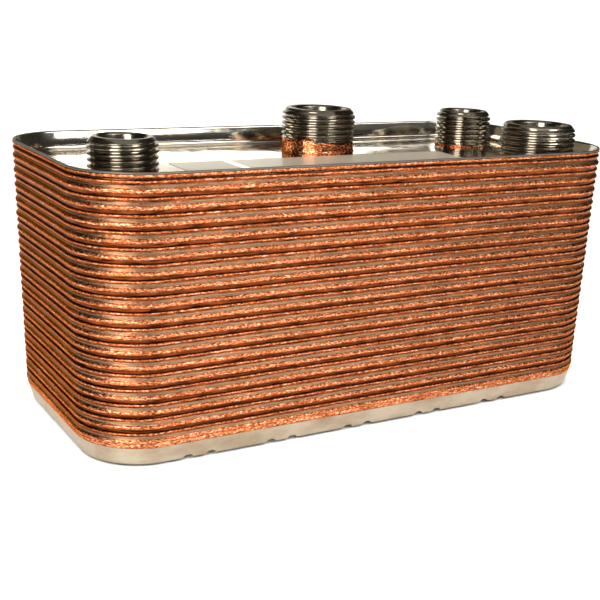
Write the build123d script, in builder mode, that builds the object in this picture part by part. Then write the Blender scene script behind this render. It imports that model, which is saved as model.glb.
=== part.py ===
from build123d import *
import math
import os

# A brazed plate heat exchanger lying on its blind end. The origin is the centre of the
# footprint, +X runs along the long side and +Z points out of the end with the four ports.

# Driving dimensions, mm
rim_length = 196.0
rim_width = 89.0
rim_radius = 21.0
pan_height = 6.6
flange_inset = 1.7
channel_plates = 34
plate_pitch = 2.33
sheet = 0.4
cover_sheet = 0.6
bend_radius = 1.2
end_bend_radius = 2.0

# Herringbone pressing of the channel plates, and the grooves of the back plate
press_angle = 45.0
chevron_angle = 60.0
ridge_pitch = 9.0
ridge_half_width = 2.8
ridge_reach = 38.0
port_margin = 0.4
first_groove = -69.0
groove_pair_pitch = 29.0
groove_pair_gap = 7.7
groove_pairs = 5
groove_half_width = 3.4
groove_run_out = 3.0

# Ports: two for the heating water with 3/4 inch threads, two for tap water with 1/2 inch ones
heating_ports = {"heating_flow_port": (11.5, 22.0), "heating_return_port": (74.5, -24.5)}
water_ports = {"cold_water_port": (-78.0, -17.6), "hot_water_port": (76.5, 21.0)}
port_places = {**heating_ports, **water_ports}
neck_height = {
    "heating_flow_port": 4.2,
    "heating_return_port": 2.8,
    "cold_water_port": 2.0,
    "hot_water_port": 0.6,
}
thread_count = {
    "heating_flow_port": 5,
    "heating_return_port": 5,
    "cold_water_port": 5,
    "hot_water_port": 6,
}
heating_major = 26.441
heating_minor = 24.117
heating_bore = 17.0
water_major = 20.955
water_minor = 18.631
water_bore = 14.2
thread_pitch = 1.814
thread_half_angle = 27.5
tip_height = 1.4
spigot_wall = 1.2
collar_land = 2.5
mouth_chamfer = 0.5

# Copper braze and the blank label
braze_depth = 1.6
port_braze_spread = 1.4
label_length = 108.0
label_width = 30.0
label_place = (0.0, -8.6)
label_thickness = 0.1
groove_depth = 0.25
groove_width = 0.9
groove_inset = 3.6

# Sizes worked out from the ones above
base_length = rim_length - 2 * flange_inset
base_width = rim_width - 2 * flange_inset
base_radius = rim_radius - flange_inset
flare = flange_inset / pan_height
flange_slope = math.degrees(math.atan(flare))
flange_thickness = sheet / math.cos(math.radians(flange_slope))
cover_base = plate_pitch * (channel_plates + 1)
cover_floor = cover_base + cover_sheet
wall_offset = sheet / math.sin(math.radians(press_angle))
skew = 1 / math.tan(math.radians(chevron_angle))
flank = (heating_major - heating_minor) / 2 * math.tan(math.radians(thread_half_angle))
land = thread_pitch / 2 - flank

os.makedirs("parts", exist_ok=True)


def bore_of(port):
    return heating_bore if port in heating_ports else water_bore


def major_of(port):
    return heating_major if port in heating_ports else water_major


def minor_of(port):
    return heating_minor if port in heating_ports else water_minor


def collar_radius(port):
    """Radius at the foot of a raised collar, whose flat land stands one pitch higher."""
    return bore_of(port) / 2 + collar_land + plate_pitch


def envelope(depth, bend):
    """The solid whose surface lies at this depth inside a pan's outer floor, bend and flange."""
    grow = flare * depth - depth / math.cos(math.radians(flange_slope))
    with BuildPart() as body:
        with BuildSketch(Plane.XY.offset(depth)):
            RectangleRounded(base_length + 2 * grow, base_width + 2 * grow, base_radius + grow)
        extrude(amount=pan_height - depth, taper=-flange_slope)
        fillet(body.faces().sort_by(Axis.Z)[0].edges(), bend - depth)
    return body.part


def pressed_pan(thickness, bend):
    """A tray with rounded corners and flared sides, open at the top, its underside on XY."""
    with BuildPart() as pan:
        add(envelope(0, bend))
        add(envelope(thickness, bend), mode=Mode.SUBTRACT)
    return pan.part


def on_flat_floor(x, y):
    """Whether a ridge may reach this point without touching the bend round the floor."""
    room = base_radius - bend_radius - ridge_half_width
    from_corner_x = max(0.0, abs(x) - base_length / 2 + base_radius)
    from_corner_y = max(0.0, abs(y) - base_width / 2 + base_radius)
    return math.hypot(from_corner_x, from_corner_y) < room


def clear_of_ports(x, lean, side):
    """Whether one arm of a chevron stays off the flat ground round every port."""
    along = Vector(lean * skew, side, 0).normalized()
    arm_length = ridge_reach / abs(along.Y)
    for port, place in port_places.items():
        away = Vector(place[0] - x, place[1], 0)
        nearest = along * min(max(away.dot(along), 0), arm_length)
        if (away - nearest).length < collar_radius(port) + ridge_half_width + port_margin:
            return False
    return True


def chevron(x, lean, up, down, half_width, lift):
    """Corner points of a chevron with arms of these reaches, or of one arm if the other is 0."""
    half = half_width / math.sin(math.radians(chevron_angle))
    low = -down if down else lift
    high = up if up else -lift
    levels = [low, 0, high] if up and down else [low, high]
    right = [(x + half + lean * skew * abs(y), y) for y in levels]
    left = [(x - half + lean * skew * abs(y), y) for y in reversed(levels)]
    return right + left


def herringbone(lean, narrowing):
    """The outlines of all ridges of a channel plate, drawn in by narrowing."""
    count = int(base_length / ridge_pitch / 2)
    spots = [ridge_pitch * (i + 0.5) for i in range(-count, count)]
    reach = ridge_reach - narrowing
    outlines = []
    for x in spots:
        if on_flat_floor(x, 0) and on_flat_floor(x + lean * skew * ridge_reach, ridge_reach - 2):
            up = reach if clear_of_ports(x, lean, 1) else 0
            down = reach if clear_of_ports(x, lean, -1) else 0
            if up or down:
                width = ridge_half_width - narrowing
                outlines.append(chevron(x, lean, up, down, width, narrowing))
    return outlines


def end_grooves(narrowing):
    """The outlines of the straight grooves across the back plate, in pairs."""
    reach = base_width / 2 + groove_run_out - narrowing
    half = groove_half_width - narrowing
    outlines = []
    for i in range(groove_pairs):
        x = first_groove + groove_pair_pitch * i
        for centre in (x, x + groove_pair_gap):
            outlines.append([
                (centre - half, -reach),
                (centre + half, -reach),
                (centre + half, reach),
                (centre - half, reach),
            ])
    return outlines


def ridge_faces(outlines):
    """Sketch of the given outlines on the underside of a plate."""
    with BuildSketch() as faces:
        for corners in outlines:
            Polygon(*corners, align=None)
    return faces.sketch


def collar_faces(ports, narrowing):
    """Sketch of the feet of raised collars, drawn in by narrowing."""
    with BuildSketch() as faces:
        for port in ports:
            with Locations(port_places[port]):
                Circle(collar_radius(port) - narrowing)
    return faces.sketch


def corrugated_plate(lean, raised_ports):
    """A channel plate: herringbone ridges, four port holes and two raised port collars."""
    hollow_height = plate_pitch - sheet
    with BuildPart() as plate:
        add(pressed_pan(sheet, bend_radius))
        extrude(ridge_faces(herringbone(lean, 0)), plate_pitch, taper=press_angle)
        extrude(collar_faces(raised_ports, 0), plate_pitch, taper=press_angle)
        hollows = ridge_faces(herringbone(lean, wall_offset))
        extrude(hollows, hollow_height, taper=press_angle, mode=Mode.SUBTRACT)
        hollows = collar_faces(raised_ports, wall_offset)
        extrude(hollows, hollow_height, taper=press_angle, mode=Mode.SUBTRACT)
        with BuildSketch():
            for port, place in port_places.items():
                with Locations(place):
                    Circle(bore_of(port) / 2)
        extrude(amount=plate_pitch, mode=Mode.SUBTRACT)
    return plate.part


# Back plate: the blind end. Its grooves run out through the bend and notch the lower edge, and
# two blind collars close the tap-water ports.
with BuildPart() as back_plate:
    add(pressed_pan(sheet, end_bend_radius))
    extrude(ridge_faces(end_grooves(0)), plate_pitch, taper=press_angle)
    extrude(collar_faces(water_ports, 0), plate_pitch, taper=press_angle)
    add(envelope(0, end_bend_radius), mode=Mode.INTERSECT)
    hollow_height = plate_pitch - sheet
    hollows = ridge_faces(end_grooves(wall_offset))
    extrude(hollows, hollow_height, taper=press_angle, mode=Mode.SUBTRACT)
    hollows = collar_faces(water_ports, wall_offset)
    extrude(hollows, hollow_height, taper=press_angle, mode=Mode.SUBTRACT)

back_plate.part.label = "back_plate"
export_step(back_plate.part, "parts/back_plate.step")

# Channel plates: two pressings in turn, so that their ridges cross and their collars alternate.
pressings = [corrugated_plate(-1, water_ports), corrugated_plate(1, heating_ports)]
for i in range(1, channel_plates + 1):
    with BuildPart() as channel_plate:
        with Locations((0, 0, plate_pitch * i)):
            add(pressings[i % 2])
    name = f"channel_plate_{i:02d}"
    channel_plate.part.label = name
    export_step(channel_plate.part, f"parts/{name}.step")

# Cover plate: the top tray, with a hole for each port's spigot and a fine pressed line round
# its floor.
with BuildPart() as cover_plate:
    with Locations((0, 0, cover_base)):
        add(pressed_pan(cover_sheet, end_bend_radius))
    with BuildSketch(Plane.XY.offset(cover_base)):
        for port, place in port_places.items():
            with Locations(place):
                Circle(bore_of(port) / 2 + spigot_wall)
    extrude(amount=cover_sheet, mode=Mode.SUBTRACT)
    with BuildSketch(Plane.XY.offset(cover_floor)):
        line_length = base_length - 2 * groove_inset
        line_width = base_width - 2 * groove_inset
        line_radius = base_radius - groove_inset
        RectangleRounded(line_length, line_width, line_radius)
        RectangleRounded(
            line_length - 2 * groove_width,
            line_width - 2 * groove_width,
            line_radius - groove_width,
            mode=Mode.SUBTRACT,
        )
    extrude(amount=-groove_depth, mode=Mode.SUBTRACT)

cover_plate.part.label = "cover_plate"
export_step(cover_plate.part, "parts/cover_plate.step")

# Edge braze: one copper ring in every gap between two nested flanges, just below the lip.
gap_foot = pan_height - braze_depth
with BuildPart() as braze_ring:
    with BuildSketch(Plane.XY.offset(gap_foot)):
        grow = flare * gap_foot - flange_thickness
        RectangleRounded(base_length + 2 * grow, base_width + 2 * grow, base_radius + grow)
    extrude(amount=braze_depth, taper=-flange_slope)
    with BuildSketch(Plane.XY.offset(gap_foot)):
        shrink = flare * (gap_foot - plate_pitch)
        RectangleRounded(base_length + 2 * shrink, base_width + 2 * shrink, base_radius + shrink)
    extrude(amount=braze_depth, taper=-flange_slope, mode=Mode.SUBTRACT)

with BuildPart() as edge_braze:
    with Locations(*[(0, 0, plate_pitch * i) for i in range(channel_plates + 1)]):
        add(braze_ring.part)

edge_braze.part.label = "edge_braze"
export_step(edge_braze.part, "parts/edge_braze.step")


def port_outline(port):
    """Half section of a port above the cover's floor, from its spigot up to its mouth."""
    bore = bore_of(port) / 2
    root = minor_of(port) / 2
    crest = major_of(port) / 2
    foot = neck_height[port]
    top = foot + thread_pitch * thread_count[port] + tip_height
    points = [(bore, -cover_sheet), (bore + spigot_wall, -cover_sheet), (bore + spigot_wall, 0)]
    points += [(root, 0)]
    for i in range(thread_count[port]):
        start = foot + thread_pitch * i
        points += [(root, start + land / 2), (crest, start + land / 2 + flank)]
        points += [(crest, start + land * 3 / 2 + flank)]
        if i < thread_count[port] - 1:
            points += [(root, start + thread_pitch - land / 2)]
    points += [(root - mouth_chamfer, top), (bore + mouth_chamfer, top)]
    points += [(bore, top - mouth_chamfer)]
    return points


for port, place in port_places.items():
    foot_centre = (place[0], place[1], cover_floor)
    section = Plane(foot_centre, x_dir=(1, 0, 0), z_dir=(0, -1, 0))

    # Port: a threaded stub on a spigot that sits in the cover's hole.
    with BuildPart() as port_stub:
        with BuildSketch(section):
            Polygon(*port_outline(port), align=None)
        revolve(axis=Axis(foot_centre, (0, 0, 1)))
    port_stub.part.label = port
    export_step(port_stub.part, f"parts/{port}.step")

    # Port braze: the copper fillet round the foot of the port.
    neck = minor_of(port) / 2
    with BuildPart() as port_braze:
        with BuildSketch(section):
            with BuildLine():
                Line((neck, 0), (neck + port_braze_spread, 0))
                tip = (neck, neck_height[port])
                ThreePointArc(
                    (neck + port_braze_spread, 0),
                    (neck + port_braze_spread * 0.55, neck_height[port] * 0.55),
                    tip,
                )
                Line(tip, (neck, 0))
            make_face()
        revolve(axis=Axis(foot_centre, (0, 0, 1)))
    name = port.replace("_port", "_braze")
    port_braze.part.label = name
    export_step(port_braze.part, f"parts/{name}.step")

# Label: a blank rating label stuck on the cover's floor.
with BuildPart() as blank_label:
    with BuildSketch(Plane.XY.offset(cover_floor)):
        with Locations(label_place):
            RectangleRounded(label_length, label_width, 1.5)
    extrude(amount=label_thickness)

blank_label.part.label = "blank_label"
export_step(blank_label.part, "parts/blank_label.step")
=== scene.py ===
"""A brazed plate heat exchanger: finishes, copper braze and threaded ports round its CAD frame."""

import math

import bpy
from mathutils import Matrix, Vector, noise


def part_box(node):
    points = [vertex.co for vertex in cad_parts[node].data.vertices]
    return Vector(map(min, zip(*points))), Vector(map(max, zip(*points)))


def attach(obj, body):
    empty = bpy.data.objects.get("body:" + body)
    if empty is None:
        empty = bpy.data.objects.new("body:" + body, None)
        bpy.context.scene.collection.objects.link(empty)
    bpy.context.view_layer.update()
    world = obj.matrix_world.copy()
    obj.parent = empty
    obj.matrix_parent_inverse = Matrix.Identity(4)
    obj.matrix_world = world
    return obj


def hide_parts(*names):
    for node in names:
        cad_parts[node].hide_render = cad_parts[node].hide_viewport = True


bl_info = {
    "name": "Plate Heat Exchanger",
    "version": (1, 0, 0),
    "blender": (4, 5, 0),
    "location": "View3D > Sidebar > Exchanger",
    "description": "Builds the copper braze, threaded ports and finishes of a plate heat exchanger",
    "category": "Object",
}

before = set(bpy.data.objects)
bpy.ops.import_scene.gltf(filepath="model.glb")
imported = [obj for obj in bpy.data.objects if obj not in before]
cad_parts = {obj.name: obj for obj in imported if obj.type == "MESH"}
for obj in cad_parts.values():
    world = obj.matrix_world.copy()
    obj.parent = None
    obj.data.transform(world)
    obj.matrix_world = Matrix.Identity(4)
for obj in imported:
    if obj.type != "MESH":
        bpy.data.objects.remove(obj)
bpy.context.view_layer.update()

MM = 0.001
BODY = "root"
LARGE_PORTS = ("heating_flow_port", "heating_return_port")
SMALL_PORTS = ("cold_water_port", "hot_water_port")
PORTS = LARGE_PORTS + SMALL_PORTS
PLATES = sorted(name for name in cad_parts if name.startswith("channel_plate_"))
LIPPED = ["back_plate"] + PLATES

# Camera, in metres and in the object's frame
CAMERA_PLACE = (-0.19146, -0.31910, 0.13654)
CAMERA_LOOK = (0.48337, 0.79083, -0.37543)
CAMERA_ROLL = math.radians(2.569)
CAMERA_LENS = 63.89
CAMERA_SHIFT = (-0.03, 0.2)

# Stage: bearings in degrees, radii and heights in metres
FLOOR_HALF = 4.0
FLOOR_LEVEL = -0.05 * MM
DOME_RADIUS = 3.95
DARK_CARD_BEARINGS = ((-138, -64), (-39, 7), (28, 128))
NEAR_CARD_RADIUS = 0.6
FAR_CARD_RADIUS = 1.2
FAR_CARD_TOP = 0.6
LIGHT_TARGET = (0, 0, 0.06)


def linear(code):
    """Turns an sRGB hex colour into the linear red, green, blue and alpha that shaders take."""
    channels = [int(code[i:i + 2], 16) / 255 for i in (1, 3, 5)]
    curve = [c / 12.92 if c <= 0.04045 else ((c + 0.055) / 1.055) ** 2.4 for c in channels]
    return (*curve, 1.0)


def colour(name, code):
    """A colour setting with this sRGB default."""
    return bpy.props.FloatVectorProperty(
        name=name, description=name, subtype="COLOR", size=4, min=0, max=1, default=linear(code)
    )


def length(name, millimetres):
    """A length setting whose default is given in millimetres and kept in metres."""
    return bpy.props.FloatProperty(
        name=name, description=name, subtype="DISTANCE", unit="LENGTH", default=millimetres * MM
    )


# ---------------------------------------------------------------- settings


class ExchangerBraze(bpy.types.PropertyGroup):
    """Sizes of the copper that ran between and over the plate edges."""

    corner_radius: length("Corner radius of the lips", 21.0)
    flare: bpy.props.FloatProperty(
        name="Flare", description="Outward slope of a flange", default=1.7 / 6.6
    )
    fine_bulge: length("Bulge of a thin copper run over a lip", 0.20)
    wide_bulge: length("Bulge of a wide copper run over a lip", 0.36)
    full_gap: length("Height of the copper in a filled groove", 1.45)
    open_gap: length("Height of the copper in an open groove", 0.35)
    unevenness: length("Unevenness of the copper", 0.10)


class ExchangerPorts(bpy.types.PropertyGroup):
    """Sizes of the threaded ports that their boxes don't give."""

    thread_pitch: length("Pitch of both pipe threads, 14 to the inch", 1.814)
    thread_depth: length("Depth of both pipe threads", 1.162)
    large_bore: length("Bore of a large port", 17.0)
    small_bore: length("Bore of a small port", 14.2)
    spigot_wall: length("Wall of the spigot in the cover's hole", 1.2)
    cover_sheet: length("Thickness of the cover", 0.6)
    mouth_chamfer: length("Chamfer at the mouth", 0.5)
    tip_height: length("Height of the cone above the last turn", 1.4)


class ExchangerColours(bpy.types.PropertyGroup):
    """Colours of the metals and of the label."""

    rim_edge: colour("Sheared edge of the cover", "#5f584d")
    # Painted shade: a dark colour along the lowest bend stands in for the shade beneath it
    painted_bend_shade: colour("Dark stain along the lowest bend", "#2b241c")
    mirror_steel: colour("Bright annealed stainless steel", "#ddd5c6")
    turned_steel: colour("Turned stainless steel", "#918979")
    pressed_steel: colour("Pressed steel, stained by the furnace", "#a99d8a")
    stain: colour("Furnace stain on pressed steel", "#8b7963")
    copper_light: colour("Clean copper braze", "#e8976a")
    copper_edge: colour("Copper at a glancing angle", "#f4bc98")
    copper_spark: colour("Bright flecks of copper", "#ffe0c4")
    copper_mid: colour("Copper braze", "#ad5c30")
    copper_low: colour("Dark flecks of copper", "#713316")
    # Oxidised copper, darkened further as painted shade down in the grooves
    copper_oxide_and_shade: colour("Oxidised copper in the grooves", "#2c1006")
    copper_steel: colour("Steel showing through thin copper", "#856449")
    # The two fields and the line between them are print; the grey of both fields is painted dark
    # reflection
    label_grey_field_and_reflection: colour("Printed field of the label", "#7c7464")
    label_pale_field_and_reflection: colour("Pale field of the label", "#8a8171")
    label_line: colour("Line between the label's fields", "#f2ede2")


# ---------------------------------------------------------------- helpers


def add_node(tree, kind, settings=None, inputs=None, links=None):
    """Adds a node, sets its properties and sockets, and links other nodes' outputs to it."""
    node = tree.nodes.new(kind)
    for key, value in (settings or {}).items():
        setattr(node, key, value)
    for key, value in (inputs or {}).items():
        node.inputs[key].default_value = value
    for key, source in (links or {}).items():
        tree.links.new(source, node.inputs[key])
    return node


def new_material(name):
    """An empty node material, its tree and its object coordinates in metres."""
    material = bpy.data.materials.new(name)
    material.use_nodes = True
    tree = material.node_tree
    tree.nodes.clear()
    place = add_node(tree, "ShaderNodeTexCoord").outputs["Object"]
    return material, tree, place


def grain(tree, place, stretch, size, detail=4.0):
    """Noise whose grain is size metres across, drawn out by stretch along X, Y and Z."""
    mapping = add_node(
        tree, "ShaderNodeMapping",
        inputs={"Scale": [1 / (size * s) for s in stretch]}, links={"Vector": place},
    )
    texture = add_node(
        tree, "ShaderNodeTexNoise",
        inputs={"Scale": 1.0, "Detail": detail, "Roughness": 0.6},
        links={"Vector": mapping.outputs["Vector"]},
    )
    return texture.outputs["Fac"]


def ramp(tree, factor, stops, interpolation="LINEAR"):
    """A colour ramp over factor with the given (position, colour) stops."""
    node = add_node(tree, "ShaderNodeValToRGB", links={"Fac": factor})
    node.color_ramp.interpolation = interpolation
    points = node.color_ramp.elements
    while len(points) < len(stops):
        points.new(0.5)
    for point, (position, value) in zip(points, stops):
        point.position = position
        point.color = value
    return node.outputs["Color"]


def between(tree, factor, low, high):
    """Maps a 0 to 1 factor onto a range."""
    node = add_node(
        tree, "ShaderNodeMapRange",
        inputs={"From Min": 0.3, "From Max": 0.7, "To Min": low, "To Max": high},
        links={"Value": factor},
    )
    return node.outputs["Result"]


def bump(tree, height, distance, strength=1.0, normal=None):
    """Relief of this depth in metres, on top of an earlier relief if there is one."""
    links = {"Height": height}
    if normal:
        links["Normal"] = normal
    node = add_node(
        tree, "ShaderNodeBump", inputs={"Distance": distance, "Strength": strength}, links=links
    )
    return node.outputs["Normal"]


def finish_material(tree, inputs, links):
    """Adds the surface shader and the output."""
    shader = add_node(tree, "ShaderNodeBsdfPrincipled", inputs=inputs, links=links)
    add_node(tree, "ShaderNodeOutputMaterial", links={"Surface": shader.outputs["BSDF"]})


def paint(piece, material):
    """Gives a piece one material."""
    piece.data.materials.clear()
    piece.data.materials.append(material)


def dress(node, material):
    """Puts a material in every slot of a CAD node, and leaves its mesh alone."""
    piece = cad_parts[node]
    if not piece.material_slots:
        piece.data.materials.append(material)
    for place in piece.material_slots:
        place.material = material


def mesh_piece(name, rings, material, clean_copper_and_shade=None):
    """A closed tube from rings of points, joined ring to ring and last ring to first.

    clean_copper_and_shade gives each point of a ring its share of clean copper, kept as a vertex
    attribute; its low values down in the grooves paint shade there.
    """
    count = len(rings[0])
    points = [point for ring in rings for point in ring]
    faces = []
    for i in range(len(rings)):
        here, there = i * count, (i + 1) % len(rings) * count
        for j in range(count):
            k = (j + 1) % count
            faces.append((here + j, here + k, there + k, there + j))
    mesh = bpy.data.meshes.new(name)
    mesh.from_pydata(points, [], faces)
    mesh.shade_smooth()
    if clean_copper_and_shade:
        mesh.attributes.new("clean_copper_and_shade", "FLOAT", "POINT").data.foreach_set("value", clean_copper_and_shade * len(rings))
    piece = bpy.data.objects.new(name, mesh)
    bpy.context.scene.collection.objects.link(piece)
    paint(piece, material)
    return piece


def centre_of(node):
    """Middle of a CAD node in plan, with its lowest and highest level."""
    low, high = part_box(node)
    return (low.x + high.x) / 2, (low.y + high.y) / 2, low.z, high.z


# ---------------------------------------------------------------- materials


def bright_annealed_steel(colours):
    """Bright annealed stainless sheet: nearly a mirror, with faint rolling lines and waves."""
    material, tree, place = new_material("bright_annealed_steel")
    rolling = grain(tree, place, (40, 1, 1), 0.4 * MM)
    waves = grain(tree, place, (1, 1, 1), 22 * MM, 2.0)
    relief = bump(tree, waves, 0.35 * MM)
    relief = bump(tree, rolling, 0.002 * MM, 0.6, relief)
    finish_material(
        tree,
        {"Base Color": colours.mirror_steel, "Metallic": 1.0},
        {"Roughness": between(tree, rolling, 0.08, 0.16), "Normal": relief},
    )
    return material


def turned_stainless_steel(colours):
    """Turned stainless steel: bright, with fine lathe rings that catch the light."""
    material, tree, place = new_material("turned_stainless_steel")
    lathe = grain(tree, place, (60, 60, 1), 0.25 * MM)
    smudge = grain(tree, place, (1, 1, 1), 5 * MM)
    finish_material(
        tree,
        {"Base Color": colours.turned_steel, "Metallic": 1.0},
        {
            "Roughness": between(tree, smudge, 0.13, 0.24),
            "Normal": bump(tree, lathe, 0.004 * MM),
        },
    )
    return material


def pressed_furnace_steel(colours):
    """Pressed steel from a brazing furnace: satin, straw-coloured, with cloudy stains."""
    material, tree, place = new_material("pressed_furnace_steel")
    clouds = grain(tree, place, (2, 2, 1), 7 * MM)
    satin = grain(tree, place, (1, 1, 1), 0.5 * MM)
    tone = ramp(tree, clouds, [(0.3, colours.stain), (0.62, colours.pressed_steel)])
    # Painted shade: darker towards the bottom, fading in below 1.2 mm, for the shade along the lowest
    # bend
    height = add_node(tree, "ShaderNodeSeparateXYZ", links={"Vector": place}).outputs["Z"]
    share = add_node(
        tree, "ShaderNodeMapRange",
        inputs={"From Min": 0.5 * MM, "From Max": 1.2 * MM}, links={"Value": height},
    ).outputs["Result"]
    tone = add_node(
        tree, "ShaderNodeMix", {"data_type": "RGBA"},
        inputs={6: colours.painted_bend_shade}, links={"Factor": share, 7: tone},
    ).outputs[2]
    finish_material(
        tree,
        {"Metallic": 0.75},
        {
            "Base Color": tone,
            "Roughness": between(tree, clouds, 0.42, 0.55),
            "Normal": bump(tree, satin, 0.02 * MM),
        },
    )
    return material


def set_copper(name, colours, rough_low, rough_high, flowing):
    """Copper that melted and set on steel: fine flecks and streaks along the edge.

    Where it flowed thin, the clean_copper_and_shade attribute lets steel show through, and darkens
    the grooves with oxidised copper and painted shade.
    """
    material, tree, place = new_material(name)
    streaks = grain(tree, place, (7, 7, 1), 0.9 * MM)
    flecks = grain(tree, place, (2, 2, 1), 0.45 * MM)
    patches = grain(tree, place, (3, 3, 1), 6 * MM, 2.0)
    stops = [
        (0.34, colours.copper_low),
        (0.47, colours.copper_mid),
        (0.59, colours.copper_light),
        (0.68, colours.copper_spark),
    ]
    tone = ramp(tree, flecks, stops)
    if flowing:
        clean_copper_and_shade = add_node(tree, "ShaderNodeAttribute", {"attribute_name": "clean_copper_and_shade"}).outputs["Fac"]
        share = add_node(
            tree, "ShaderNodeMath", {"operation": "ADD"},
            links={0: clean_copper_and_shade, 1: between(tree, streaks, -0.12, 0.22)},
        ).outputs["Value"]
        thickness = ramp(tree, share, [(0.56, (0, 0, 0, 1)), (0.80, (1, 1, 1, 1))])
        # Painted shade: the open grooves take the darkest colour, partly oxide and partly shade
        steel_and_groove_shade = ramp(tree, clean_copper_and_shade, [(0.0, colours.copper_oxide_and_shade), (0.45, colours.copper_steel)])
        tone = add_node(
            tree, "ShaderNodeMix", {"data_type": "RGBA"},
            links={"Factor": thickness, 6: steel_and_groove_shade, 7: tone},
        ).outputs[2]
    worn = between(tree, patches, 0.72, 1.0)
    tone = add_node(
        tree, "ShaderNodeMix", {"data_type": "RGBA", "blend_type": "MULTIPLY"},
        inputs={0: 1.0}, links={6: tone, 7: worn},
    ).outputs[2]
    relief = bump(tree, streaks, 0.05 * MM)
    finish_material(
        tree,
        {"Metallic": 1.0, "Specular Tint": colours.copper_edge},
        {
            "Base Color": tone,
            "Roughness": between(tree, flecks, rough_low, rough_high),
            "Normal": bump(tree, flecks, 0.16 * MM, 1.0, relief),
        },
    )
    return material


def coppered_steel(colours):
    """Stainless flange with a film of furnace-darkened copper, seen down in the grooves; its dark
    tone is partly oxide and partly painted shade of the grooves.
    """
    material, tree, place = new_material("coppered_stainless_flange")
    streaks = grain(tree, place, (7, 7, 1), 0.9 * MM)
    tone = ramp(tree, streaks, [(0.35, colours.copper_oxide_and_shade), (0.8, colours.copper_mid)])
    finish_material(
        tree,
        {"Metallic": 1.0},
        {
            "Base Color": tone,
            "Roughness": between(tree, streaks, 0.35, 0.55),
            "Normal": bump(tree, streaks, 0.05 * MM),
        },
    )
    return material


def sheared_edge(colours):
    """The cover's cut edge: dull and dark beside the bright sheet."""
    material, tree, place = new_material("sheared_stainless_edge")
    burr = grain(tree, place, (5, 5, 1), 0.6 * MM)
    finish_material(
        tree,
        {"Base Color": colours.rim_edge, "Metallic": 0.8},
        {"Roughness": between(tree, burr, 0.35, 0.5), "Normal": bump(tree, burr, 0.03 * MM)},
    )
    return material


def printed_film(colours):
    """Glossy polyester label film: a grey field, a pale line and a pale field, left blank. The grey
    of both fields is partly print and partly painted dark reflection.
    """
    material, tree, place = new_material("printed_film")
    low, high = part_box("blank_label")
    across = add_node(tree, "ShaderNodeSeparateXYZ", links={"Vector": place}).outputs["X"]
    share = add_node(
        tree, "ShaderNodeMapRange",
        inputs={"From Min": low.x, "From Max": high.x}, links={"Value": across},
    ).outputs["Result"]
    line_start = 0.177
    line_end = line_start + 0.023
    fields = ramp(
        tree, share,
        [(0.0, colours.label_grey_field_and_reflection), (line_start, colours.label_line), (line_end, colours.label_pale_field_and_reflection)],
        "CONSTANT",
    )
    ripple = grain(tree, place, (1, 1, 1), 9 * MM, 2.0)
    finish_material(
        tree,
        {"Roughness": 0.3, "Coat Weight": 0.15, "Coat Roughness": 0.15},
        {"Base Color": fields, "Normal": bump(tree, ripple, 0.15 * MM)},
    )
    return material


def matt_paint(name, code):
    """Plain matt studio paint."""
    material, tree, _ = new_material(name)
    finish_material(tree, {"Base Color": linear(code), "Roughness": 0.9}, {})
    return material


# ---------------------------------------------------------------- shapes


def lip_outline(half_x, half_y, radius):
    """Points round a lip with their outward directions, counterclockwise from the +X side."""
    step = 1.0 * MM
    arc_steps = 32
    outline = []
    for turn in range(4):
        spin = Matrix.Rotation(turn * math.pi / 2, 2)
        long, wide = (half_x, half_y) if turn % 2 == 0 else (half_y, half_x)
        run = 2 * (wide - radius)
        count = max(2, round(run / step))
        for i in range(count):
            point = Vector((long, -wide + radius + run * i / count))
            outline.append((spin @ point, spin @ Vector((1, 0))))
        for i in range(arc_steps):
            angle = math.pi / 2 * i / arc_steps
            outward = Vector((math.cos(angle), math.sin(angle)))
            corner = Vector((long - radius, wide - radius))
            outline.append((spin @ (corner + outward * radius), spin @ outward))
    return outline


def thin_run(flare, bulge, fill):
    """Section of a thin bright run over a lip, with an open groove above it.

    Points are (outwards, upwards, share of clean copper) from the lip's outer edge, in
    metres; the share is lowest in the open groove, where it paints shade. The section wraps over the
    lip and closes inside the metal.
    """
    wall = -0.6 * MM
    return [
        (-0.43 * MM, -0.62 * MM, 0.0),
        (-0.62 * MM * flare + 0.01 * MM, -0.52 * MM, 0.5),
        (bulge * 0.55, -0.30 * MM, 1.0),
        (bulge, -0.10 * MM, 1.0),
        (bulge * 0.85, 0.08 * MM, 1.0),
        (0.0, 0.20 * MM, 0.9),
        (-0.32 * MM, 0.16 * MM, 0.2),
        (wall + flare * fill + 0.08 * MM, fill * 0.7, 0.0),
        (wall + flare * fill, fill, 0.0),
        (wall + flare * fill - 0.2 * MM, fill, 0.0),
        (wall - 0.25 * MM, -0.3 * MM, 0.0),
    ]


def wide_run(flare, bulge, fill):
    """Section of a wide copper run over a lip, whose groove above is filled nearly flush."""
    wall = -0.6 * MM
    return [
        (-0.43 * MM, -1.20 * MM, 0.0),
        (-1.2 * MM * flare, -1.05 * MM, 0.3),
        (bulge * 0.42, -0.78 * MM, 1.0),
        (bulge, -0.40 * MM, 1.0),
        (bulge * 0.92, 0.02 * MM, 1.0),
        (bulge * 0.25, 0.32 * MM, 0.9),
        (-0.16 * MM, 0.50 * MM, 0.5),
        (wall + flare * fill * 0.7 + 0.06 * MM, fill * 0.7, 0.5),
        (wall + flare * fill + 0.02 * MM, fill, 0.5),
        (wall + flare * fill - 0.2 * MM, fill, 0.5),
        (wall - 0.25 * MM, -0.3 * MM, 0.5),
    ]


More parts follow.
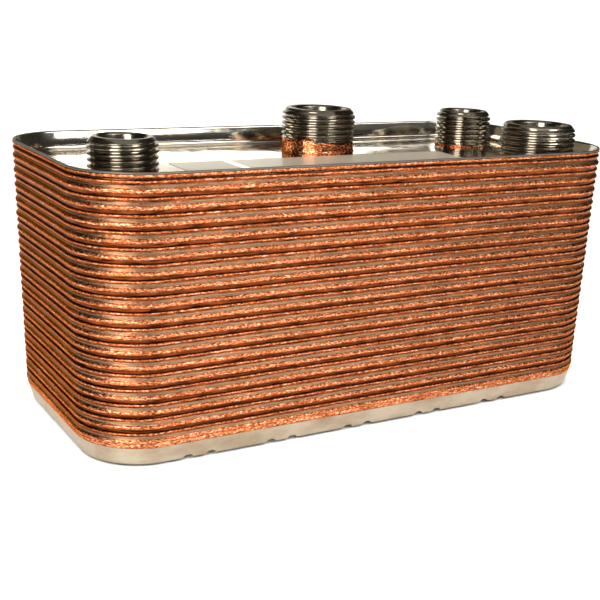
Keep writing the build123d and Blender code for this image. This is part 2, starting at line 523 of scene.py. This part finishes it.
def end_run(flare, bulge, fill):
    """Section of the lowest run: it starts at the back plate's bare lip and fills the step."""
    wall = -0.6 * MM
    return [
        (wall, -0.25 * MM, 1.0),
        (-0.20 * MM, -0.02 * MM, 1.0),
        (0.0, 0.06 * MM, 1.0),
        (bulge * 0.3, 0.35 * MM, 1.0),
        (bulge * 0.35, 0.75 * MM, 1.0),
        (bulge * 0.1, 1.2 * MM, 0.9),
        (-0.1 * MM, fill, 0.5),
        (wall + flare * 2 * fill, fill * 1.3, 0.5),
        (wall + flare * fill - 0.2 * MM, fill * 1.3, 0.5),
    ]


def top_run(flare, bulge, _fill):
    """Section of the film on the cover's outer face, from its lip down to the lip below.

    The last argument is there because every run is called alike; no groove is filled here.
    """
    return [
        (-0.30 * MM, -0.46 * MM, 1.0),
        (0.0, -0.48 * MM, 1.0),
        (bulge * 0.5, -0.66 * MM, 1.0),
        (bulge * 0.35, -1.0 * MM, 1.0),
        (-1.4 * MM * flare + 0.06 * MM, -1.4 * MM, 0.8),
        (-1.8 * MM * flare + 0.01 * MM, -1.8 * MM, 0.2),
        (-0.75 * MM, -1.9 * MM, 0.0),
        (-0.60 * MM, -0.9 * MM, 1.0),
    ]


def copper_run(braze, number, node, section, bulge, fill, material):
    """A closed ring of copper along one lip, uneven along its run."""
    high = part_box(node)[1]
    rings = []
    for point, outward in lip_outline(high.x, high.y, braze.corner_radius):
        slow = noise.noise(Vector((point.x * 60, point.y * 60, number * 3.7)))
        quick = noise.noise(Vector((point.x * 600, point.y * 600, number * 5.1)))
        uneven = braze.unevenness * (slow + 0.9 * quick)
        level = high.z + 0.9 * braze.unevenness * slow
        shape = section(braze.flare, max(0.04 * MM, bulge + uneven), fill + 2 * uneven)
        rings.append([(*(point + outward * out), level + up) for out, up, _ in shape])
    clean_copper_and_shade = [share for _, _, share in section(braze.flare, bulge, fill)]
    return mesh_piece(f"edge_copper_{number:02d}", rings, material, clean_copper_and_shade)


def edge_copper(braze, material):
    """Thin and wide runs in turn up the plate pack, with the bare back plate below them."""
    pieces = []
    for number, node in enumerate(LIPPED + ["cover_plate"]):
        if number == 0:
            form = (end_run, braze.wide_bulge, braze.full_gap)
        elif node == "cover_plate":
            form = (top_run, braze.wide_bulge, braze.full_gap)
        elif number % 2 == 0:
            form = (thin_run, braze.fine_bulge, braze.open_gap)
        else:
            form = (wide_run, braze.wide_bulge, braze.full_gap)
        pieces.append(copper_run(braze, number, node, *form, material))
    return pieces


def cover_ring(name, braze, section, material):
    """A ring round the cover's lip; its section is (outwards, upwards) from the lip's edge."""
    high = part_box("cover_plate")[1]
    rings = [
        [(*(point + outward * out), high.z + up) for out, up in section]
        for point, outward in lip_outline(high.x, high.y, braze.corner_radius)
    ]
    return mesh_piece(name, rings, material)


def rolled_rim(braze, material):
    """The cover's inner wall as it sprang back from the press: steep below, flared at the lip."""
    wall = 0.62 * MM
    stations = [(0.0, 0.02), (0.5, 0.06), (1.0, 0.11), (1.5, 0.17), (2.0, 0.22), (2.5, 0.255),
                (3.0, 0.27), (3.5, 0.26), (4.0, 0.225), (4.5, 0.16), (4.9, 0.09), (5.3, -0.2)]
    inner = [(-wall - braze.flare * d * MM - swell * MM, -d * MM) for d, swell in stations]
    section = [(-0.12 * MM, -0.2 * MM), (-0.05 * MM, 0.0), (-0.2 * MM, 0.06 * MM)]
    section += [(-wall + 0.1 * MM, 0.05 * MM)] + inner
    return cover_ring("rolled_rim", braze, section, material)


def sheared_rim(braze, material):
    """A thin ring round the very top of the cover's lip, where the sheet was cut."""
    section = [
        (-0.08 * MM, -0.50 * MM),
        (0.05 * MM, -0.42 * MM),
        (0.09 * MM, -0.08 * MM),
        (0.0, 0.09 * MM),
        (-0.35 * MM, 0.13 * MM),
        (-0.62 * MM, 0.10 * MM),
        (-0.70 * MM, -0.08 * MM),
        (-0.40 * MM, -0.30 * MM),
    ]
    return cover_ring("sheared_rim", braze, section, material)


def port_profile(ports, node):
    """Rows of (radius, height, thread share) from the spigot up the outside and down the bore."""
    _, _, bottom, top = centre_of(node)
    low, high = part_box(node)
    crest = (high.x - low.x) / 2
    root = crest - ports.thread_depth
    bore = (ports.large_bore if node in LARGE_PORTS else ports.small_bore) / 2
    floor = bottom + ports.cover_sheet
    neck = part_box(node.replace("_port", "_braze"))[1].z
    cone = top - ports.tip_height - 0.6 * MM
    rows = [(bore + 0.1 * MM, bottom, 0), (bore + ports.spigot_wall, bottom, 0)]
    rows += [(bore + ports.spigot_wall, floor, 0), (root - 0.2 * MM, floor, 0)]
    rows += [(root, floor + 0.3 * MM, 0), (root, neck - 0.3 * MM, 0)]
    step = ports.thread_pitch / 14
    count = int((top - 0.3 * MM - neck) / step)
    for i in range(count):
        height = neck + step * i
        fade_in = min(1.0, (height - neck) / (0.8 * MM))
        limit = crest - max(0.0, height - cone) * 0.8
        rows.append((min(limit, crest), height, fade_in))
    mouth = ports.mouth_chamfer
    rim = crest - (top - cone) * 0.8
    rows += [(rim, top - 0.12 * MM, 0), (rim - 0.15 * MM, top, 0), (bore + mouth, top, 0)]
    rows += [(bore + 0.1 * MM, top - mouth, 0), (bore, top - 1.3 * mouth, 0)]
    rows += [(bore, bottom + 1 * MM, 0)]
    return rows, root


def threaded_port(ports, node, material):
    """A port with a true helical thread, in the place and box of its CAD node."""
    x, y, bottom, _ = centre_of(node)
    rows, root = port_profile(ports, node)
    segments = 112
    pitch = ports.thread_pitch
    rings = []
    for radius, height, share in rows:
        ring = []
        for i in range(segments):
            angle = 2 * math.pi * i / segments
            reach = radius
            if share:
                phase = (height - bottom) / pitch - angle / (2 * math.pi)
                wave = 0.5 + 0.5 * math.cos(2 * math.pi * phase)
                tooth = min(1.0, max(0.0, (wave - 0.12) / 0.72))
                tooth = tooth * tooth * (3 - 2 * tooth)
                reach = min(radius, root + ports.thread_depth * tooth * share)
            ring.append((x + reach * math.cos(angle), y + reach * math.sin(angle), height))
        rings.append(ring)
    return mesh_piece(node.replace("_port", "_thread"), rings, material)


def port_braze_ring(ports, node, material):
    """The copper fillet at the foot of a port: lumpy, with a smear drawn up one side."""
    braze = node.replace("_port", "_braze")
    x, y, bottom, top = centre_of(braze)
    low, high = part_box(node)
    crest = (high.x - low.x) / 2
    root = crest - ports.thread_depth
    height = top - bottom
    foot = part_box(braze)[1].x - x
    segments = 96
    smear_side = math.radians(215)
    columns = []
    for i in range(segments):
        angle = 2 * math.pi * i / segments
        here = Vector((math.cos(angle), math.sin(angle), 0))
        lump = noise.noise(here * 2.2 + Vector((x * 90, y * 90, 0)))
        fine = noise.noise(here * 7.0 + Vector((x * 90, y * 90, 3)))
        smear = max(0.0, math.cos(angle - smear_side)) ** 6
        rise = height * (0.92 + 0.10 * lump + 0.05 * fine) + smear * 0.35 * height
        swell = 0.16 * MM * lump + 0.08 * MM * fine + smear * 0.25 * MM
        section = [
            (root - 0.5 * MM, 0.0),
            (foot + 0.5 * swell, 0.0),
            (foot - 0.35 * MM + swell, rise * 0.10),
            (crest - 0.25 * MM + swell, rise * 0.30),
            (crest - 0.35 * MM + swell, rise * 0.45),
            (crest - 0.12 * MM + swell, rise * 0.62),
            (crest - 0.45 * MM + swell, rise * 0.82),
            (root + 0.15 * MM, rise),
            (root - 0.5 * MM, rise - 0.1 * height),
        ]
        columns.append([
            (x + out * math.cos(angle), y + out * math.sin(angle), bottom + up)
            for out, up in section
        ])
    return mesh_piece(node.replace("_port", "_fillet"), columns, material)


# ---------------------------------------------------------------- operators


class EXCHANGER_OT_plates(bpy.types.Operator):
    """Finish the channel plates with copper that ran over their edges"""

    bl_idname = "exchanger.plates"
    bl_label = "Channel plates"

    def execute(self, context):
        finish = coppered_steel(context.scene.exchanger_colours)
        for node in PLATES:
            dress(node, finish)
        return {"FINISHED"}


class EXCHANGER_OT_back_plate(bpy.types.Operator):
    """Finish the pressed back plate"""

    bl_idname = "exchanger.back_plate"
    bl_label = "Back plate"

    def execute(self, context):
        dress("back_plate", pressed_furnace_steel(context.scene.exchanger_colours))
        return {"FINISHED"}


class EXCHANGER_OT_cover(bpy.types.Operator):
    """Finish the bright cover tray"""

    bl_idname = "exchanger.cover"
    bl_label = "Cover plate"

    def execute(self, context):
        finish = bright_annealed_steel(context.scene.exchanger_colours)
        dress("cover_plate", finish)
        edge = sheared_edge(context.scene.exchanger_colours)
        wall = rolled_rim(context.scene.exchanger_braze, finish)
        rim = sheared_rim(context.scene.exchanger_braze, edge)
        for piece in (wall, rim):
            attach(piece, BODY)
        return {"FINISHED"}


class EXCHANGER_OT_edge_braze(bpy.types.Operator):
    """Build the copper between the plate edges"""

    bl_idname = "exchanger.edge_braze"
    bl_label = "Edge braze"

    def execute(self, context):
        finish = set_copper("set_copper_braze", context.scene.exchanger_colours, 0.24, 0.42, True)
        for piece in edge_copper(context.scene.exchanger_braze, finish):
            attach(piece, BODY)
            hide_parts("edge_braze")
        return {"FINISHED"}


class EXCHANGER_OT_ports(bpy.types.Operator):
    """Build the four threaded ports"""

    bl_idname = "exchanger.ports"
    bl_label = "Threaded ports"

    def execute(self, context):
        finish = turned_stainless_steel(context.scene.exchanger_colours)
        for node in PORTS:
            piece = threaded_port(context.scene.exchanger_ports, node, finish)
            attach(piece, BODY)
            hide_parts(node)
        return {"FINISHED"}


class EXCHANGER_OT_port_braze(bpy.types.Operator):
    """Build the copper fillets at the feet of the ports"""

    bl_idname = "exchanger.port_braze"
    bl_label = "Port braze"

    def execute(self, context):
        finish = set_copper("port_copper_fillet", context.scene.exchanger_colours, 0.18, 0.32, False)
        for node in PORTS:
            piece = port_braze_ring(context.scene.exchanger_ports, node, finish)
            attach(piece, BODY)
            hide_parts(node.replace("_port", "_braze"))
        return {"FINISHED"}


class EXCHANGER_OT_label(bpy.types.Operator):
    """Finish the blank label"""

    bl_idname = "exchanger.label"
    bl_label = "Blank label"

    def execute(self, context):
        dress("blank_label", printed_film(context.scene.exchanger_colours))
        return {"FINISHED"}


def bearing_point(bearing, radius, height):
    """A point round the object; bearing 0 is in front, at -Y, and 90 at +X."""
    angle = math.radians(bearing)
    return Vector((radius * math.sin(angle), -radius * math.cos(angle), height))


def reflection_card(name, start, end, radius, low, high, material):
    """A curved card from bearing to bearing that only reflections see."""
    steps = 24
    points = []
    for i in range(steps + 1):
        bearing = start + (end - start) * i / steps
        points += [bearing_point(bearing, radius, low), bearing_point(bearing, radius, high)]
    faces = [(2 * i, 2 * i + 2, 2 * i + 3, 2 * i + 1) for i in range(steps)]
    mesh = bpy.data.meshes.new(name)
    mesh.from_pydata(points, [], faces)
    card = bpy.data.objects.new(name, mesh)
    bpy.context.scene.collection.objects.link(card)
    paint(card, material)
    card.visible_camera = False
    card.visible_shadow = False
    card.visible_diffuse = False


def softbox(name, place, target, wide, tall, power):
    """A rectangular softbox that the camera doesn't see."""
    light = bpy.data.lights.new(name, "AREA")
    light.shape = "RECTANGLE"
    light.size = wide
    light.size_y = tall
    light.energy = power
    lamp = bpy.data.objects.new(name, light)
    lamp.location = place
    lamp.rotation_euler = (Vector(target) - Vector(place)).to_track_quat("-Z", "Y").to_euler()
    lamp.visible_camera = False
    bpy.context.scene.collection.objects.link(lamp)


def glowing(name, code, strength):
    """An evenly lit white sheet."""
    material, tree, _ = new_material(name)
    inputs = {"Color": linear(code), "Strength": strength}
    glow = add_node(tree, "ShaderNodeEmission", inputs=inputs)
    add_node(tree, "ShaderNodeOutputMaterial", links={"Surface": glow.outputs["Emission"]})
    return material


def pale_dome(material):
    """A pale backdrop all round, which only the camera sees."""
    bpy.ops.mesh.primitive_uv_sphere_add(segments=64, ring_count=32, radius=DOME_RADIUS)
    dome = bpy.context.object
    dome.name = "pale_backdrop"
    paint(dome, material)
    dome.visible_shadow = False
    dome.visible_diffuse = False
    dome.visible_glossy = False


class EXCHANGER_OT_stage(bpy.types.Operator):
    """Set up the floor, the soft light and the camera"""

    bl_idname = "exchanger.stage"
    bl_label = "Stage"

    def execute(self, context):
        scene = context.scene
        scene.view_settings.view_transform = "Standard"
        mesh = bpy.data.meshes.new("floor")
        signs = ((-1, -1), (1, -1), (1, 1), (-1, 1))
        corners = [(x * FLOOR_HALF, y * FLOOR_HALF, FLOOR_LEVEL) for x, y in signs]
        mesh.from_pydata(corners, [], [(0, 1, 2, 3)])
        floor = bpy.data.objects.new("floor", mesh)
        scene.collection.objects.link(floor)
        paint(floor, matt_paint("white_floor_paint", "#f4f3f0"))
        pale_dome(glowing("pale_backdrop_paint", "#fffefb", 1.08))

        dark = matt_paint("dark_card_paint", "#15110c")
        for i, (start, end) in enumerate(DARK_CARD_BEARINGS):
            reflection_card(f"dark_card_{i}", start, end, NEAR_CARD_RADIUS, 0.0, 0.56, dark)
        reflection_card("upper_dark_card", 7, 28, NEAR_CARD_RADIUS, 0.12, 0.42, dark)
        white = glowing("white_card_paint", "#fffaf0", 1.0)
        reflection_card("back_card", 150, 184, FAR_CARD_RADIUS, 0.0, FAR_CARD_TOP, white)
        grey = glowing("grey_card_paint", "#857b6b", 1.0)
        reflection_card("right_card", 128, 150, FAR_CARD_RADIUS, 0.0, FAR_CARD_TOP, grey)
        reflection_card("left_card", 184, 222, FAR_CARD_RADIUS, 0.0, FAR_CARD_TOP, grey)

        world = bpy.data.worlds.new("dim_studio")
        world.use_nodes = True
        world.node_tree.nodes.clear()
        sky = add_node(
            world.node_tree, "ShaderNodeBackground",
            inputs={"Color": linear("#3a3228"), "Strength": 1.0},
        )
        add_node(
            world.node_tree, "ShaderNodeOutputWorld", links={"Surface": sky.outputs["Background"]}
        )
        scene.world = world

        ceiling = bpy.data.lights.new("ceiling_light", "SUN")
        ceiling.energy = 4.0
        ceiling.angle = math.radians(70)
        lamp = bpy.data.objects.new("ceiling_light", ceiling)
        lamp.rotation_euler = (math.radians(-8), math.radians(-10), 0)
        lamp.visible_glossy = False
        scene.collection.objects.link(lamp)
        softbox("left_window", bearing_point(-51, 0.58, 0.3), LIGHT_TARGET, 0.25, 0.6, 4.4)
        softbox("right_window", bearing_point(17.5, 0.58, 0.06), LIGHT_TARGET, 0.21, 0.12, 0.9)
        softbox("overhead_softbox", (0, 0, 1.6), LIGHT_TARGET, 1.6, 1.6, 3.5)
        softbox("front_softbox", bearing_point(20, 1.0, 0.88), LIGHT_TARGET, 1.3, 0.4, 13.0)

        camera = bpy.data.cameras.new("camera")
        camera.lens = CAMERA_LENS
        camera.sensor_width = 36
        camera.shift_x, camera.shift_y = CAMERA_SHIFT
        camera.clip_start = 0.01
        eye = bpy.data.objects.new("camera", camera)
        eye.location = CAMERA_PLACE
        look = Vector(CAMERA_LOOK).to_track_quat("-Z", "Y").to_matrix()
        roll = Matrix.Rotation(CAMERA_ROLL, 3, "Z")
        eye.rotation_euler = (look @ roll).to_euler()
        scene.collection.objects.link(eye)
        scene.camera = eye
        return {"FINISHED"}


class EXCHANGER_PT_panel(bpy.types.Panel):
    """Lists the steps in the 3D view's sidebar"""

    bl_idname = "EXCHANGER_PT_panel"
    bl_label = "Plate heat exchanger"
    bl_space_type = "VIEW_3D"
    bl_region_type = "UI"
    bl_category = "Exchanger"

    def draw(self, context):
        for step in STEPS:
            self.layout.operator(step.bl_idname)


STEPS = (
    EXCHANGER_OT_stage,
    EXCHANGER_OT_plates,
    EXCHANGER_OT_back_plate,
    EXCHANGER_OT_cover,
    EXCHANGER_OT_edge_braze,
    EXCHANGER_OT_ports,
    EXCHANGER_OT_port_braze,
    EXCHANGER_OT_label,
)
SETTINGS = {
    "exchanger_braze": ExchangerBraze,
    "exchanger_ports": ExchangerPorts,
    "exchanger_colours": ExchangerColours,
}


def register():
    for name, group in SETTINGS.items():
        bpy.utils.register_class(group)
        setattr(bpy.types.Scene, name, bpy.props.PointerProperty(type=group))
    for step in STEPS:
        bpy.utils.register_class(step)
    bpy.utils.register_class(EXCHANGER_PT_panel)


def unregister():
    bpy.utils.unregister_class(EXCHANGER_PT_panel)
    for step in reversed(STEPS):
        bpy.utils.unregister_class(step)
    for name, group in SETTINGS.items():
        delattr(bpy.types.Scene, name)
        bpy.utils.unregister_class(group)


def main():
    register()
    bpy.ops.exchanger.stage()
    bpy.ops.exchanger.plates()
    bpy.ops.exchanger.back_plate()
    bpy.ops.exchanger.cover()
    bpy.ops.exchanger.edge_braze()
    bpy.ops.exchanger.ports()
    bpy.ops.exchanger.port_braze()
    bpy.ops.exchanger.label()


if __name__ == "__main__":
    main()
